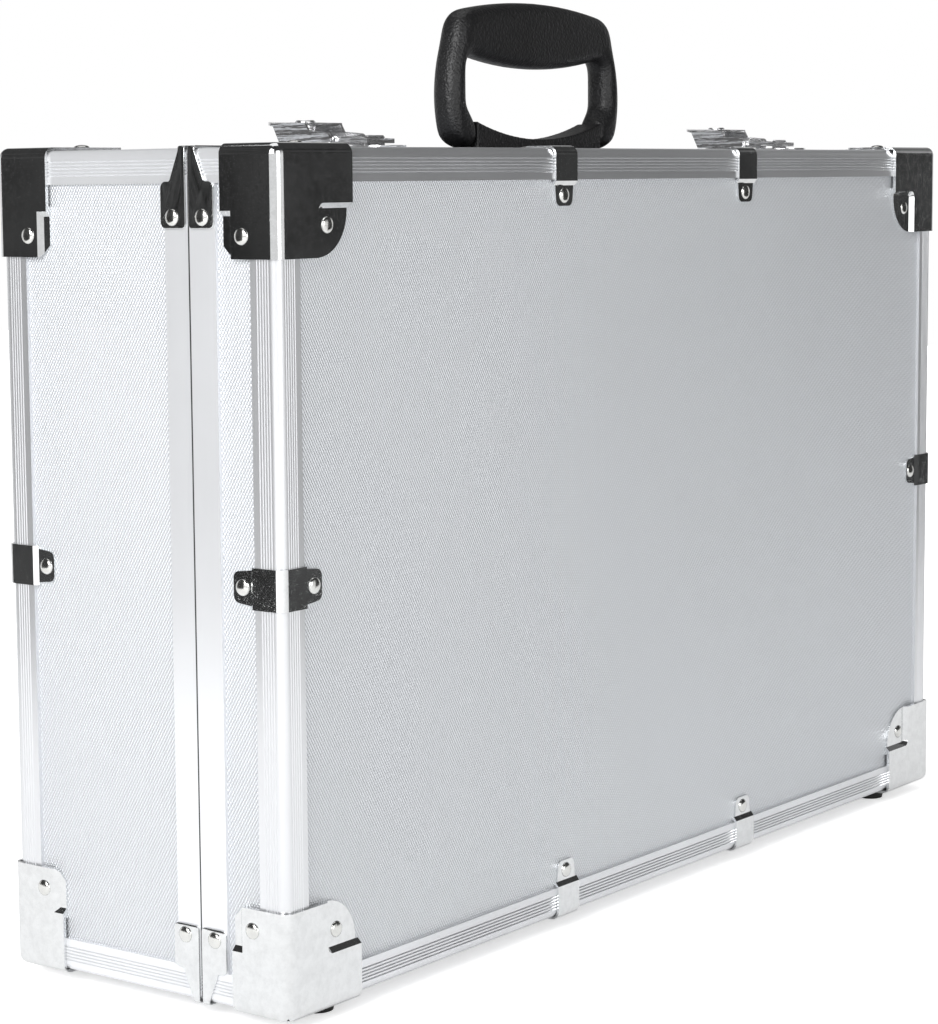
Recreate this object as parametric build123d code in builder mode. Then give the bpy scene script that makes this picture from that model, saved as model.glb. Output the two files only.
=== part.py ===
# Charging case: an aluminium-edged carrying case that stands on four feet, with its
# lid on the front face, and a charging tray for hand-held devices in its base.
# Millimetres, X along the length, Y from the lid (front) to the base (rear), Z up.
# The origin is at the middle of the case, on the surface that the feet stand on.
import os
from build123d import *

os.makedirs("parts", exist_ok=True)

# Overall case
case_length = 560.0
case_depth = 152.0
case_height = 350.0
foot_height = 6.5
lid_depth = 46.0

# Edging, rims and panels
edging_leg = 14.0
edging_wall = 1.5
edging_round = 4.0
lip_reach = 12.0
edging_web = 7.5
panel_thickness = 4.0
panel_fit = 0.1
panel_end_gap = 0.3
groove_count = 5
groove_pitch = 1.4
groove_depth = 0.35
groove_start = 4.8
base_rim_width = 12.7
lid_rim_width = 14.2
rim_web = 6.5
tongue_reach = 3.5
tongue_wall = 1.4
tongue_inset = 3.0
tongue_groove_side = 0.7
tongue_groove_rise = 1.8
tongue_groove_end = 1.0
edge_round = 3.0

# Corner plates, straps and rivets
corner_width = 46.0
corner_drop = 44.0
corner_turn = 28.0
corner_wall = 1.6
corner_round = 4.5
corner_ear_start = 24.2
corner_ear_drop = 22.3
corner_ear_round = 19.0
corner_side_step = 22.5
corner_side_ear_top = 25.0
corner_side_chamfer = 5.0
corner_free_round = 2.0
corner_notch_round = 3.0
corner_ear_inset = 1.5
ear_wall = 1.0
step_run = 2.0
strap_width = 17.0
strap_wall = 1.0
strap_bend = 14.6
strap_reach = 25.7
strap_ear_width = 14.4
strap_end_width = 12.4
strap_end_round = 3.0
strap_spacing = 159.0
rim_clip_width = 13.4
rim_clip_drop = 33.0
rim_clip_taper_start = 1.7
rim_clip_taper_width = 8.5
rim_clip_shoulder = 14.2
rim_clip_shoulder_round = 2.5
rim_clip_strip = 3.6
rim_clip_wrap = 16.0
rim_clip_gap = 0.8
rim_clip_round = 2.0
rim_clip_bend = 0.9
rivet_radius = 3.6
rivet_height = 1.3
rivet_facets = 12
rivet_crown_radius = 1.6
corner_rivet_in = 32.0
corner_rivet_down = 31.0
side_rivet_in = 17.0
side_rivet_down = 35.0
strap_rivet_in = 21.0
rim_rivet_in = 7.2
rim_rivet_down = 27.5

# Feet
foot_radius = 8.0
foot_tip_radius = 7.2
foot_inset = 36.7
foot_setback = 15.5

# Hinges on the underside of the split
hinge_spacing = 340.0
hinge_length = 60.0
hinge_knuckles = 5
hinge_radius = 2.2
hinge_pin_radius = 1.1
hinge_pin_fit = 0.05
hinge_drop = 2.5
hinge_leaf_wall = 1.2
hinge_leaf_reach = 22.0
hinge_gap = 0.3

# Handle
handle_setback = 28.5
handle_width = 142.0
handle_widest_height = 26.0
handle_leg = 12.5
handle_thickness = 16.0
handle_height = 70.5
handle_foot_width = 116.0
handle_toe_width = 132.0
handle_toe_height = 6.5
handle_ankle_width = 140.0
handle_ankle_height = 14.0
handle_neck_width = 133.0
handle_neck_height = 49.0
handle_shoulder_width = 124.0
handle_shoulder_height = 64.5
handle_outer_round = 12.0
handle_grip_bottom = 45.5
handle_grip_sag = 6.5
handle_inner_round = 6.0
handle_foot_step = 6.0
handle_foot_step_top = 22.0
handle_foot_step_bottom = 14.5
handle_taper_height = 15.0
handle_edge_bevel = 4.0
handle_pin_height = 8.0
handle_pin_radius = 2.5
handle_pin_fit = 0.05
handle_pin_depth = 9.0
handle_foot_clearance = 0.5
handle_side_gap = 0.5
bracket_depth = 14.0
bracket_end_height = 13.5
bracket_middle_height = 5.5
bracket_flange_length = 150.0
bracket_flange_depth = 26.0
bracket_clearance = 0.3

# Draw latches
latch_spacing = 345.4
latch_length = 39.7
catch_length = 25.3
catch_width = 22.0
catch_lip_setback = 12.0
catch_lip_wall = 1.5
catch_lip_width = 12.0
catch_lip_height = 4.4
latch_plate = 1.2
latch_plate_setback = 3.0
lever_half_width = 12.8
lever_wall = 1.3
lever_pin_setback = 6.0
lever_pin_height = 4.2
lever_pin_radius = 1.3
lever_pin_fit = 0.05
lever_nose = 2.7
lever_top_height = 8.0
lever_lip_height = 10.0
lever_lip_length = 4.5
latch_ear_wall = 1.2
latch_ear_gap = 0.4
bail_radius = 1.2
bail_bar_width = 2.4
bail_bar_height = 2.0
bail_pivot_run = 9.0
bail_pivot_rise = 0.8
bail_arm = 8.3
bail_hook_gap = 0.15
bail_hook_height = 3.2
bail_clearance = 0.6
lock_radius = 4.5
lock_fit = 0.05
lock_setback = 27.0
lock_top = 1.2
lock_depth = 4.0
lock_slot_width = 1.2
lock_slot_length = 5.0
lock_slot_depth = 1.0

# Charging tray, contacts and power unit
tray_side_margin = 14.0
tray_margin = 13.0
tray_setback = 4.0
power_bay_width = 94.0
tray_wall = 4.0
divider_wall = 3.0
pocket_columns = 2
pocket_rows = 7
contact_board_wall = 1.6
contact_block_length = 40.0
contact_block_height = 9.0
contact_block_depth = 8.0
power_gap = 4.0
power_bottom = 60.0
power_height = 200.0
power_depth = 60.0
control_panel_wall = 3.0
inlet_width = 27.0
inlet_height = 20.0
inlet_depth = 22.0
inlet_flange = 4.0
inlet_socket_depth = 16.0
inlet_socket_wall = 1.6
inlet_z = 60.0
rocker_z = 110.0
rocker_width = 13.0
rocker_height = 19.0
rocker_depth = 8.0
rocker_fit = 0.3
rocker_tilt = 7.0
lamp_radius = 2.5
lamp_fit = 0.05
lamp_pitch = 16.0
lamp_z = 180.0
lamp_columns = 1
lamp_rows = 7
lamp_depth = 6.0

# Lid padding
foam_margin = 18.0
foam_thickness = 26.0
foam_gap = 0.3

# Reference planes and lines worked out from the sizes above
case_bottom = foot_height
case_top = foot_height + case_height
case_middle = foot_height + case_height / 2
front_y = -case_depth / 2
rear_y = case_depth / 2
split_y = front_y + lid_depth
half_length = case_length / 2
lip_inner = edging_wall + panel_thickness + panel_fit
lip_back = lip_inner + edging_wall
panel_back = edging_wall + panel_thickness
panel_edge = edging_web + panel_end_gap
rim_panel_edge = rim_web + panel_end_gap
middle = Plane.XY.offset(case_middle)
centre = Plane.YZ
everything = 4 * case_length
handle_y = split_y + handle_setback
latch_rear = split_y + latch_length
catch_front = split_y - catch_length
catch_lip_y = split_y - catch_lip_setback
latch_plate_front = split_y + latch_plate_setback
lever_pin_y = split_y + lever_pin_setback
lock_y = split_y + lock_setback
tray_left = -half_length + tray_side_margin
power_right = half_length - tray_side_margin
tray_right = power_right - power_bay_width
tray_front = split_y + tray_setback


def keep(sub_part, name):
    """Label one finished piece and write it."""
    sub_part.part.label = name
    export_step(sub_part.part, f"parts/{name}.step")


def cut_ribs(corner, across, down):
    """Cut the ribs of both legs of an edging into its profile; across and down are 1 or -1."""
    grooves = [groove_start + step * groove_pitch for step in range(groove_count)]
    side = groove_depth * 2**0.5
    on_top = [(corner[0] + across * run, corner[1]) for run in grooves]
    on_side = [(corner[0], corner[1] + down * run) for run in grooves]
    with Locations(*on_top, *on_side):
        Rectangle(side, side, rotation=45, mode=Mode.SUBTRACT)


def edging_bar(length):
    """Two-legged edging along X with its outer corner on the origin, mitred at both ends."""
    with BuildPart() as bar:
        with BuildSketch(Plane.YZ.offset(-length / 2)) as profile:
            with BuildLine():
                Polyline(
                    (0, 0),
                    (edging_leg, 0),
                    (edging_leg, -edging_wall),
                    (edging_web, -edging_wall),
                    (edging_web, -lip_inner),
                    (lip_reach, -lip_inner),
                    (lip_reach, -lip_back),
                    (lip_back, -lip_back),
                    (lip_back, -lip_reach),
                    (lip_inner, -lip_reach),
                    (lip_inner, -edging_web),
                    (edging_wall, -edging_web),
                    (edging_wall, -edging_leg),
                    (0, -edging_leg),
                    close=True,
                )
            make_face()
            fillet(profile.vertices().sort_by_distance((0, 0, 0))[0], radius=edging_round)
            cut_ribs((0, 0), 1, -1)
        extrude(amount=length)
        with BuildSketch(Plane.XZ):
            mitred(length, edging_leg)
        extrude(amount=everything, both=True, mode=Mode.INTERSECT)
    return bar.part


def mitred(length, reach):
    """Outline of a bar that narrows inward at 45 degrees at both ends."""
    Polygon(
        (-length / 2, 0),
        (length / 2, 0),
        (length / 2 - reach, -reach),
        (-length / 2 + reach, -reach),
        align=None,
    )


def clear_ends(length):
    """Cut the outer skin away at both ends of a rim, where the depth-wise edging lies."""
    with Locations((-length / 2, 0, 0), (length / 2, 0, 0)):
        Box(2 * (edging_leg + panel_fit), everything, 2 * edging_wall, mode=Mode.SUBTRACT)


def lid_rim_bar(length):
    """Rim of the lid along X with its outer face on Z = 0, its meeting face on Y = 0 and its tongue."""
    with BuildPart() as bar:
        with BuildSketch(Plane.YZ.offset(-length / 2)):
            with BuildLine():
                Polyline(
                    (0, 0),
                    (-lid_rim_width, 0),
                    (-lid_rim_width, -edging_wall),
                    (-rim_web, -edging_wall),
                    (-rim_web, -lip_inner),
                    (-lip_reach, -lip_inner),
                    (-lip_reach, -lip_back),
                    (0, -lip_back),
                    (0, -tongue_inset - tongue_wall),
                    (tongue_reach, -tongue_inset - tongue_wall),
                    (tongue_reach, -tongue_inset),
                    (0, -tongue_inset),
                    close=True,
                )
            make_face()
        extrude(amount=length)
        with BuildSketch(Plane.XZ):
            mitred(length, lip_back)
        extrude(amount=everything, both=True, mode=Mode.INTERSECT)
        clear_ends(length)
    return bar.part


def base_rim_bar(length):
    """Rim of the base along X with its outer face on Z = 0, its meeting face on Y = 0 and its groove."""
    groove_top = tongue_inset - tongue_groove_side
    groove_bottom = tongue_inset + tongue_wall + tongue_groove_rise
    groove_end = tongue_reach + tongue_groove_end
    with BuildPart() as bar:
        with BuildSketch(Plane.YZ.offset(-length / 2)):
            with BuildLine():
                Polyline(
                    (0, 0),
                    (base_rim_width, 0),
                    (base_rim_width, -edging_wall),
                    (rim_web, -edging_wall),
                    (rim_web, -lip_inner),
                    (lip_reach, -lip_inner),
                    (lip_reach, -lip_back),
                    (0, -lip_back),
                    (0, -groove_bottom),
                    (groove_end, -groove_bottom),
                    (groove_end, -groove_top),
                    (0, -groove_top),
                    close=True,
                )
            make_face()
        extrude(amount=length)
        with BuildSketch(Plane.XZ):
            mitred(length, lip_back)
        extrude(amount=everything, both=True, mode=Mode.INTERSECT)
        clear_ends(length)
    return bar.part


def upright(solid):
    """Turn a bar that lies along the top so that it stands along the left side."""
    return solid.rotate(Axis.Y, -90)


def panel(low, high):
    """Flat sheet between two opposite corners."""
    with BuildPart() as sheet:
        with BuildSketch(Plane.XY.offset(low[2])):
            with Locations(((low[0] + high[0]) / 2, (low[1] + high[1]) / 2)):
                Rectangle(high[0] - low[0], high[1] - low[1])
        extrude(amount=high[2] - low[2])
    return sheet.part


def one_node(name, *solids):
    """Write one node made of the given separate solids."""
    with BuildPart() as node:
        for solid in solids:
            add(solid)
    keep(node, name)


def flipped(solid):
    """Copy of a piece on the other end of the case."""
    return mirror(solid, about=centre, mode=Mode.PRIVATE)


def lowered(solid):
    """Copy of a piece at the other height of the case."""
    return mirror(solid, about=middle, mode=Mode.PRIVATE)


def behind(solid):
    """Copy of a piece on the opposite big face of the case."""
    return mirror(solid, about=Plane.XZ, mode=Mode.PRIVATE)


def both_ends(*solids):
    """Each piece with its copy on the other end."""
    return [copy for solid in solids for copy in (solid, flipped(solid))]


def both_heights(*solids):
    """Each piece with its copy at the other height."""
    return [copy for solid in solids for copy in (solid, lowered(solid))]


# Edging round the two big faces
long_bar = edging_bar(case_length).moved(Location((0, front_y, case_top)))
short_bar = upright(edging_bar(case_height)).moved(Location((-half_length, front_y, case_middle)))
one_node("lid_frame_top", long_bar)
one_node("lid_frame_bottom", lowered(long_bar))
one_node("lid_frame_left", short_bar)
one_node("lid_frame_right", flipped(short_bar))
one_node("base_frame_top", behind(long_bar))
one_node("base_frame_bottom", lowered(behind(long_bar)))
one_node("base_frame_left", behind(short_bar))
one_node("base_frame_right", flipped(behind(short_bar)))

# Rims that meet at the split
lid_rim_top = lid_rim_bar(case_length).moved(Location((0, split_y, case_top)))
lid_rim_side = upright(lid_rim_bar(case_height)).moved(Location((-half_length, split_y, case_middle)))
base_rim_top = base_rim_bar(case_length).moved(Location((0, split_y, case_top)))
base_rim_side = upright(base_rim_bar(case_height)).moved(Location((-half_length, split_y, case_middle)))
one_node("lid_rim_long", *both_heights(lid_rim_top))
one_node("lid_rim_short", *both_ends(lid_rim_side))
one_node("base_rim_long", *both_heights(base_rim_top))
one_node("base_rim_short", *both_ends(base_rim_side))

# Laminated panels
face_panel = panel(
    (-half_length + panel_edge, front_y + edging_wall, case_bottom + panel_edge),
    (half_length - panel_edge, front_y + panel_back, case_top - panel_edge),
)
lid_back = split_y - rim_panel_edge
base_front = split_y + rim_panel_edge
lid_front = front_y + panel_edge
base_back = rear_y - panel_edge
lid_top_panel = panel(
    (-half_length + edging_wall, lid_front, case_top - panel_back),
    (half_length - edging_wall, lid_back, case_top - edging_wall),
)
base_top_panel = panel(
    (-half_length + edging_wall, base_front, case_top - panel_back),
    (half_length - edging_wall, base_back, case_top - edging_wall),
)
lid_left_panel = panel(
    (-half_length + edging_wall, lid_front, case_bottom + panel_back),
    (-half_length + panel_back, lid_back, case_top - panel_back),
)
base_left_panel = panel(
    (-half_length + edging_wall, base_front, case_bottom + panel_back),
    (-half_length + panel_back, base_back, case_top - panel_back),
)
one_node("lid_face_panel", face_panel)
one_node("lid_top_panel", lid_top_panel)
one_node("lid_bottom_panel", lowered(lid_top_panel))
one_node("lid_left_panel", lid_left_panel)
one_node("lid_right_panel", flipped(lid_left_panel))
one_node("base_back_panel", behind(face_panel))
one_node("base_top_panel", base_top_panel)
one_node("base_bottom_panel", lowered(base_top_panel))
one_node("base_left_panel", base_left_panel)
one_node("base_right_panel", flipped(base_left_panel))


def side_angle(start, stop):
    """Ribbed angle that closes the depth-wise edge between two Y positions, top left."""
    corner = (-half_length, case_top)
    with BuildPart() as angle:
        with BuildSketch(Plane.XZ.offset(-start)) as profile:
            with Locations(corner):
                Rectangle(edging_leg, edging_leg, align=(Align.MIN, Align.MAX))
            with Locations((-half_length + edging_wall, case_top - edging_wall)):
                Rectangle(edging_leg, edging_leg, align=(Align.MIN, Align.MAX), mode=Mode.SUBTRACT)
            fillet(profile.vertices().sort_by_distance((*corner, 0))[0], radius=edge_round)
            cut_ribs(corner, 1, -1)
        extrude(amount=start - stop)
    return angle.part


lid_angle = side_angle(front_y + edging_leg, split_y)
base_angle = side_angle(split_y, rear_y - edging_leg)
one_node("lid_side_angles", *both_heights(*both_ends(lid_angle)))
one_node("base_side_angles", *both_heights(*both_ends(base_angle)))


def corner_plate():
    """Pressed corner with three flanges, its case corner on the origin, for the left front top corner."""
    ear_depth = corner_wall + edging_wall - ear_wall
    side_ear_width = corner_turn - corner_side_step
    side_ear_length = corner_drop - corner_side_ear_top
    ear_side = corner_width - corner_ear_inset
    with BuildPart() as plate:
        with Locations((-corner_wall, -corner_wall, corner_wall)):
            Box(
                corner_width + corner_wall,
                corner_turn + corner_wall,
                corner_drop + corner_wall,
                align=(Align.MIN, Align.MIN, Align.MAX),
            )
        tip = (-corner_wall, -corner_wall, corner_wall)
        fillet(plate.edges().sort_by_distance(tip)[:3], radius=corner_round)
        Box(
            everything,
            everything,
            everything,
            align=(Align.MIN, Align.MIN, Align.MAX),
            mode=Mode.SUBTRACT,
        )
        with BuildSketch(Plane.XZ):
            with Locations((corner_width, -corner_drop)):
                Rectangle(
                    corner_width - corner_ear_start + step_run,
                    corner_drop - corner_ear_drop + step_run,
                    align=(Align.MAX, Align.MIN),
                )
        extrude(amount=-edging_wall)
        with BuildSketch(Plane.XZ.offset(corner_wall)) as notch:
            with Locations((corner_ear_start, -corner_ear_drop)):
                Rectangle(corner_width, corner_drop, align=(Align.MIN, Align.MAX))
            tip = (corner_ear_start, -corner_wall, -corner_ear_drop)
            fillet(notch.vertices().sort_by_distance(tip)[0], radius=corner_notch_round)
        extrude(amount=-ear_depth, taper=45, mode=Mode.SUBTRACT)
        with BuildSketch(Plane.XZ.offset(corner_wall)):
            with Locations((ear_side, -corner_ear_drop - step_run)):
                Rectangle(corner_width, corner_drop, align=(Align.MIN, Align.MAX))
            with Locations((ear_side, -corner_drop)):
                Rectangle(corner_ear_round, corner_ear_round, align=(Align.MAX, Align.MIN))
            with Locations((ear_side - corner_ear_round, -corner_drop + corner_ear_round)):
                Circle(corner_ear_round, mode=Mode.SUBTRACT)
        extrude(amount=-corner_wall - edging_wall, mode=Mode.SUBTRACT)
        with BuildSketch(Plane.YZ):
            with Locations((corner_turn, -corner_drop)):
                Rectangle(
                    side_ear_width + step_run,
                    side_ear_length + step_run,
                    align=(Align.MAX, Align.MIN),
                )
        extrude(amount=edging_wall)
        with BuildSketch(Plane.YZ.offset(-corner_wall)):
            with Locations((corner_side_step, -corner_side_ear_top)):
                Rectangle(corner_turn, corner_drop, align=(Align.MIN, Align.MAX))
        extrude(amount=ear_depth, taper=45, mode=Mode.SUBTRACT)
        with BuildSketch(Plane.YZ.offset(-corner_wall)):
            Polygon(
                (corner_turn, -corner_drop),
                (corner_turn - corner_side_chamfer, -corner_drop),
                (corner_turn, -corner_drop + corner_side_chamfer),
                align=None,
            )
        extrude(amount=corner_wall + edging_wall, mode=Mode.SUBTRACT)
        free_corner = (corner_width, corner_turn, corner_wall)
        fillet(plate.edges().filter_by(Axis.Z).sort_by_distance(free_corner)[0], radius=corner_free_round)
    return plate.part


def strap_clip():
    """Strap bent over an edging, its case edge along X on the origin, with a lower ear on each face."""
    ear_out = edging_wall - ear_wall
    with BuildPart() as clip:
        with BuildSketch(Plane.YZ.offset(-strap_width / 2)) as profile:
            with BuildLine():
                Polyline(
                    (ear_out, -strap_reach),
                    (ear_out, -strap_bend - step_run),
                    (-strap_wall, -strap_bend),
                    (-strap_wall, strap_wall),
                    (strap_bend, strap_wall),
                    (strap_bend + step_run, -ear_out),
                    (strap_reach, -ear_out),
                    (strap_reach, -edging_wall),
                    (edging_leg + edging_wall + panel_fit, -edging_wall),
                    (edging_leg + panel_fit, 0),
                    (0, 0),
                    (0, -edging_leg - panel_fit),
                    (edging_wall, -edging_leg - edging_wall - panel_fit),
                    (edging_wall, -strap_reach),
                    close=True,
                )
            make_face()
            bend = profile.vertices().sort_by_distance((-strap_wall, strap_wall, 0))[0]
            fillet(bend, radius=edging_round)
            inner_bend = profile.vertices().sort_by_distance((0, 0, 0))[0]
            fillet(inner_bend, radius=edging_round - strap_wall)
        extrude(amount=strap_width)
        for plane, reach in ((Plane.XZ, -1), (Plane.XY, 1)):
            with BuildSketch(plane):
                for side in (-1, 1):
                    Polygon(
                        (side * strap_ear_width / 2, reach * (strap_bend + step_run)),
                        (side * strap_width, reach * (strap_bend + step_run)),
                        (side * strap_width, reach * strap_reach),
                        (side * strap_end_width / 2, reach * strap_reach),
                        align=None,
                    )
            extrude(amount=2 * strap_bend / 3, both=True, mode=Mode.SUBTRACT)
        fillet(clip.edges().filter_by(Axis.Y).group_by(Axis.Z)[0], radius=strap_end_round)
        fillet(clip.edges().filter_by(Axis.Z).group_by(Axis.Y)[-1], radius=strap_end_round)
    return clip.part


def rim_clip():
    """Clip over the end of a rim, on the left end face and the top, its width from Y = 0 rearward."""
    with BuildPart() as clip:
        with BuildSketch(Plane.YZ) as side:
            with BuildLine():
                Polyline(
                    (0, strap_wall),
                    (rim_clip_strip, strap_wall),
                    (rim_clip_strip, -rim_clip_taper_start),
                    (rim_clip_taper_width, -rim_clip_shoulder),
                    (rim_clip_width, -rim_clip_shoulder),
                    (rim_clip_width, -rim_clip_drop),
                    (0, -rim_clip_drop),
                    close=True,
                )
            make_face()
            fillet(side.vertices().group_by(Axis.Y)[0], radius=rim_clip_round)
            shoulder = (rim_clip_width, -rim_clip_shoulder)
            shoulder_point = side.vertices().sort_by_distance((0, *shoulder))[0]
            fillet(shoulder_point, radius=rim_clip_shoulder_round)
        extrude(amount=-strap_wall)
        with BuildSketch(Plane.XY):
            Rectangle(rim_clip_wrap, rim_clip_strip, align=(Align.MIN, Align.MIN))
        extrude(amount=strap_wall)
        bend = clip.edges().filter_by(Axis.Y).sort_by_distance((-strap_wall, 0, strap_wall))[0]
        fillet(bend, radius=rim_clip_bend)
    return clip.part


def rivet():
    """Low rivet head with faceted sides that stands on Z = 0."""
    with BuildPart() as head:
        with BuildSketch(Plane.XY):
            RegularPolygon(rivet_radius, rivet_facets)
        with BuildSketch(Plane.XY.offset(rivet_height)):
            RegularPolygon(rivet_crown_radius, rivet_facets)
        loft()
    return head.part


def on_face(x, z, y):
    """Rivet on the big face of the lid."""
    return rivet().moved(Location((x, y, z), (90, 0, 0)))


def on_end(y, z, x):
    """Rivet on the left end of the case."""
    return rivet().moved(Location((x, y, z), (0, -90, 0)))


def on_top(x, y, z):
    """Rivet on the top of the case."""
    return rivet().moved(Location((x, y, z)))


# Corner plates, one per corner of each half
lid_corner = corner_plate().moved(Location((-half_length, front_y, case_top)))
lid_corner_set = both_heights(*both_ends(lid_corner))
one_node("lid_corners", *lid_corner_set)
one_node("base_corners", *[behind(corner) for corner in lid_corner_set])

# Straps over the edging
top_strap = strap_clip().moved(Location((-strap_spacing / 2, front_y, case_top)))
side_strap = upright(strap_clip()).moved(Location((-half_length, front_y, case_middle)))
lid_strap_set = both_heights(*both_ends(top_strap)) + both_ends(side_strap)
one_node("lid_edge_clips", *lid_strap_set)
one_node("base_edge_clips", *[behind(strap) for strap in lid_strap_set])

# Clips over the ends of the two rims
base_clip = rim_clip().moved(Location((-half_length, split_y + rim_clip_gap, case_top)))
lid_clip = mirror(rim_clip(), about=Plane.XZ, mode=Mode.PRIVATE)
lid_clip = lid_clip.moved(Location((-half_length, split_y - rim_clip_gap, case_top)))
one_node("base_rim_clips", *both_heights(*both_ends(base_clip)))
one_node("lid_rim_clips", *both_heights(*both_ends(lid_clip)))

# Rivets through the plates, straps and clips
ear_face = front_y + edging_wall - ear_wall
ear_end = -half_length + edging_wall - ear_wall
ear_top = case_top - edging_wall + ear_wall
corner_rivets = [
    on_face(-half_length + corner_rivet_in, case_top - corner_rivet_down, ear_face),
    on_end(front_y + side_rivet_in, case_top - side_rivet_down, -half_length - corner_wall),
]
corner_top_rivet = on_top(-half_length + corner_rivet_in, front_y + side_rivet_in, case_top + corner_wall)
top_strap_rivets = [
    on_face(-strap_spacing / 2, case_top - strap_rivet_in, ear_face),
    on_top(-strap_spacing / 2, front_y + strap_rivet_in, ear_top),
]
side_strap_rivets = [
    on_face(-half_length + strap_rivet_in, case_middle, ear_face),
    on_end(front_y + strap_rivet_in, case_middle, ear_end),
]
shared_rivets = both_heights(*both_ends(*corner_rivets, *top_strap_rivets))
shared_rivets += both_ends(*side_strap_rivets, corner_top_rivet)
rim_rivet_out = rim_clip_gap + rim_rivet_in
rim_rivet_z = case_top - rim_rivet_down
base_rim_rivet = on_end(split_y + rim_rivet_out, rim_rivet_z, -half_length - strap_wall)
lid_rim_rivet = on_end(split_y - rim_rivet_out, rim_rivet_z, -half_length - strap_wall)
one_node("lid_rivets", *shared_rivets, *both_heights(*both_ends(lid_rim_rivet)))
base_rivet_set = [behind(head) for head in shared_rivets]
one_node("base_rivets", *base_rivet_set, *both_heights(*both_ends(base_rim_rivet)))


def foot():
    """Rubber foot that hangs from the underside of the case."""
    with BuildPart() as stub:
        with BuildSketch(Plane.XY):
            Circle(foot_tip_radius)
        with BuildSketch(Plane.XY.offset(case_bottom - corner_wall)):
            Circle(foot_radius)
        loft()
    return stub.part


lid_foot = foot().moved(Location((-half_length + foot_inset, front_y + foot_setback, 0)))
one_node("lid_feet", *both_ends(lid_foot))
one_node("base_feet", *both_ends(behind(lid_foot)))

# Hinges under the split, with the axis just below the case
hinge_y = split_y
hinge_z = case_bottom - hinge_drop
knuckle_length = hinge_length / hinge_knuckles
knuckle_starts = [-hinge_length / 2 + turn * knuckle_length for turn in range(hinge_knuckles)]


def hinge_half(turns, side):
    """Leaf with its knuckles along X about the origin; side is 1 rearward and -1 forward."""
    leaf_top = hinge_drop
    with BuildPart() as half:
        with BuildSketch(Plane.XY.offset(leaf_top - hinge_leaf_wall)):
            with Locations((0, side * (hinge_radius + hinge_gap))):
                align = Align.MIN if side > 0 else Align.MAX
                Rectangle(hinge_length, hinge_leaf_reach, align=(Align.CENTER, align))
        extrude(amount=hinge_leaf_wall)
        for turn in turns:
            start = knuckle_starts[turn] + hinge_gap / 2
            width = knuckle_length - hinge_gap
            with BuildSketch(Plane.YZ.offset(start)):
                Circle(hinge_radius)
                with Locations((0, leaf_top)):
                    Rectangle(
                        hinge_radius + hinge_gap,
                        hinge_leaf_wall,
                        align=(align, Align.MAX),
                    )
            extrude(amount=width)
        with BuildSketch(Plane.YZ.offset(-hinge_length)):
            Circle(hinge_pin_radius + hinge_pin_fit)
        extrude(amount=2 * hinge_length, mode=Mode.SUBTRACT)
    return half.part


def hinge_pin():
    """Plain pin through all the knuckles."""
    with BuildPart() as pin:
        with BuildSketch(Plane.YZ.offset(-hinge_length / 2)):
            Circle(hinge_pin_radius)
        extrude(amount=hinge_length)
    return pin.part


hinge_place = Location((-hinge_spacing / 2, hinge_y, hinge_z))
base_turns = range(0, hinge_knuckles, 2)
lid_turns = range(1, hinge_knuckles, 2)
one_node("hinge_base_leaves", *both_ends(hinge_half(base_turns, 1).moved(hinge_place)))
one_node("hinge_lid_leaves", *both_ends(hinge_half(lid_turns, -1).moved(hinge_place)))
one_node("hinge_pins", *both_ends(hinge_pin().moved(hinge_place)))


# Carrying handle on the middle of the top, with its bracket and pins
handle_axis_z = case_top + handle_pin_height
leg_radius = handle_pin_height - handle_foot_clearance
grip_top = case_top + handle_height
grip_bottom = case_top + handle_grip_bottom
shoulder_z = case_top + handle_shoulder_height
opening_side = handle_width / 2 - handle_leg
foot_inner = opening_side - handle_foot_step
foot_z = handle_axis_z - leg_radius


def handle_side(end):
    """Bulging outline of one side, from the foot up to the shoulder; end is 1 or -1."""
    foot = (end * handle_foot_width / 2, foot_z)
    toe = (end * handle_toe_width / 2, case_top + handle_toe_height)
    ankle = (end * handle_ankle_width / 2, case_top + handle_ankle_height)
    widest = (end * handle_width / 2, case_top + handle_widest_height)
    neck = (end * handle_neck_width / 2, case_top + handle_neck_height)
    ThreePointArc(foot, toe, ankle)
    ThreePointArc(ankle, widest, neck)
    Line(neck, (end * handle_shoulder_width / 2, shoulder_z))


def handle_inside(end):
    """Inner outline of one leg, from the foot up to the grip, and the foot's lower edge."""
    Polyline(
        (end * handle_foot_width / 2, foot_z),
        (end * foot_inner, foot_z),
        (end * foot_inner, case_top + handle_foot_step_bottom),
        (end * opening_side, case_top + handle_foot_step_top),
        (end * opening_side, grip_bottom),
    )


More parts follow.
